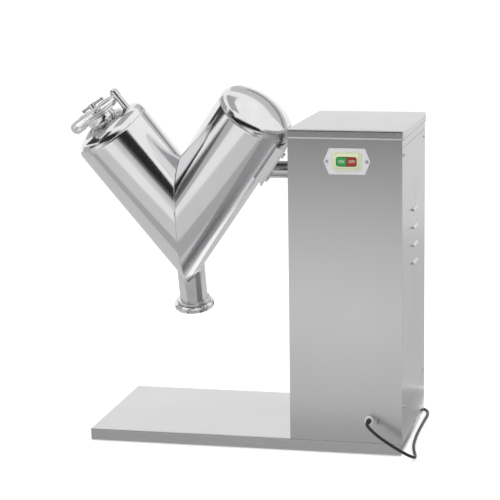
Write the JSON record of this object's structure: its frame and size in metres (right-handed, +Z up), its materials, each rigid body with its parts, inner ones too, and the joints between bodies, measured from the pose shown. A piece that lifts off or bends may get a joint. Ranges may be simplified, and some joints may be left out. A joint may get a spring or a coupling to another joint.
{
  "type": "v-blender",
  "caption": "Bench V-shaped drum mixer for dry powders: polished twin-arm drum with a clamped feed lid and an outlet nut, turned by a motor cabinet on a folded base.",
  "frame": {"origin": "on the floor, under the middle of the whole object's box, measured without the mains cord", "axes": "+X from the feed end of the drum towards the drive cabinet, -Y the front with the switch, +Z up"},
  "size_m": [0.8299, 0.5551, 0.8051],
  "materials": {
    "brushed_sheet": "satin brushed stainless sheet",
    "polished": "mirror polished stainless steel",
    "machined": "turned and milled steel",
    "zinc": "bright zinc plated fasteners",
    "frame_steel": "grey painted structural steel",
    "cast": "painted cast iron",
    "bearing_steel": "ground bearing steel",
    "bronze": "machined bronze",
    "motor_paint": "semi-gloss paint",
    "motor_core": "laminated steel",
    "fan": "moulded plastic",
    "rubber_black": "matt rubber",
    "rubber_white": "white silicone rubber",
    "switch_metal": "satin plate",
    "membrane": "clear flexible boot",
    "green": "moulded plastic",
    "red": "moulded plastic",
    "black_plastic": "moulded plastic",
    "white_plastic": "moulded plastic",
    "earth_brass": "nickel plated brass",
    "cord_pvc": "soft black sheath"
  },
  "bodies": {
    "frame": {"base_tray": "brushed_sheet", "base_channels": "frame_steel", "rubber_feet": "rubber_black", "base_screws": "zinc", "cabinet_shell": "brushed_sheet", "side_panel": "brushed_sheet", "top_cover": "brushed_sheet", "panel_screws": "zinc", "support_frame": "frame_steel", "support_shelves": "frame_steel", "mounting_bolts": "zinc", "pillow_blocks": "cast", "bearing_balls": "bearing_steel", "shaft_flange": "machined", "drive_belt": "rubber_black", "gearbox_housing": "cast", "gearbox_covers": "cast", "motor_housing": "motor_paint", "motor_fan_cover": "motor_paint", "switch_plate": "switch_metal", "switch_boot": "membrane", "switch_body": "black_plastic", "switch_screws": "zinc", "start_spring": "zinc", "stop_spring": "zinc", "earth_terminal": "earth_brass", "cord_grommet": "white_plastic", "power_cord": "cord_pvc", "cord_coil": "cord_pvc", "coil_tie": "black_plastic", "power_plug": "black_plastic"},
    "drum": {"bearing_rings": "bearing_steel", "drum_shaft": "machined", "drive_plate": "machined", "saddle": "machined", "saddle_bolts": "zinc", "right_arm": "polished", "left_arm": "polished", "right_head": "polished", "left_head": "polished", "feed_neck": "polished", "feed_gasket": "rubber_white", "clamp_post": "polished", "outlet_neck": "polished", "outlet_gasket": "rubber_white", "driven_pulley": "cast"},
    "feed_clamp": {"clamp_bar": "polished", "feed_lid": "polished"},
    "clamp_spindle": {"clamp_screw": "polished", "tommy_bar": "polished"},
    "outlet_cap": {"outlet_blank": "polished"},
    "union_nut": {"outlet_nut": "polished"},
    "gearbox_shaft": {"drive_pulley": "cast", "output_shaft": "machined", "worm_wheel": "bronze"},
    "motor": {"motor_rotor": "motor_core", "motor_fan": "fan"},
    "start": {"start_button": "green"},
    "stop": {"stop_button": "red"}
  },
  "joints": [
    {"name": "drum_spin", "type": "hinge", "parent": "frame", "child": "drum", "pos_m": [0.23521, 0.00935, 0.612], "axis": [1, 0, 0], "continuous": true},
    {"name": "gearbox_spin", "type": "hinge", "parent": "frame", "child": "gearbox_shaft", "pos_m": [0.26321, -0.08065, 0.33], "axis": [1, 0, 0], "continuous": true},
    {"name": "motor_spin", "type": "hinge", "parent": "frame", "child": "motor", "pos_m": [0.26321, 0.00935, 0.38], "axis": [0, 1, 0], "continuous": true},
    {"name": "clamp_swing", "type": "hinge", "parent": "drum", "child": "feed_clamp", "pos_m": [-0.28401, -0.03547, 0.77928], "axis": [-0.5736, -0.212, 0.7912], "range_deg": [0, 110]},
    {"name": "clamp_turn", "type": "hinge", "parent": "feed_clamp", "child": "clamp_spindle", "pos_m": [-0.34668, -0.02885, 0.75458], "axis": [-0.5736, -0.212, 0.7912], "range_deg": [0, 360]},
    {"name": "outlet_lower", "type": "slide", "parent": "drum", "child": "outlet_cap", "axis": [0, 0.2588, -0.9659], "range_m": [0, 0.012]},
    {"name": "nut_turn", "type": "hinge", "parent": "outlet_cap", "child": "union_nut", "pos_m": [-0.14879, 0.10253, 0.26427], "axis": [0, 0.2588, -0.9659], "range_deg": [0, 720]},
    {"name": "start_press", "type": "slide", "parent": "frame", "child": "start", "axis": [0, 1, 0], "range_m": [0, 0.003], "stiffness_N_per_m": 300, "springref_m": -0.002, "deforming": ["start_spring"]},
    {"name": "stop_press", "type": "slide", "parent": "frame", "child": "stop", "axis": [0, 1, 0], "range_m": [0, 0.003], "stiffness_N_per_m": 300, "springref_m": -0.002, "deforming": ["stop_spring"]}
  ],
  "couplings": [
    {"joint": "gearbox_spin", "follows": "drum_spin", "ratio": 2},
    {"joint": "motor_spin", "follows": "drum_spin", "ratio": 30},
    {"joint": "outlet_lower", "follows": "nut_turn", "m_per_rad": 0.00095493}
  ]
}
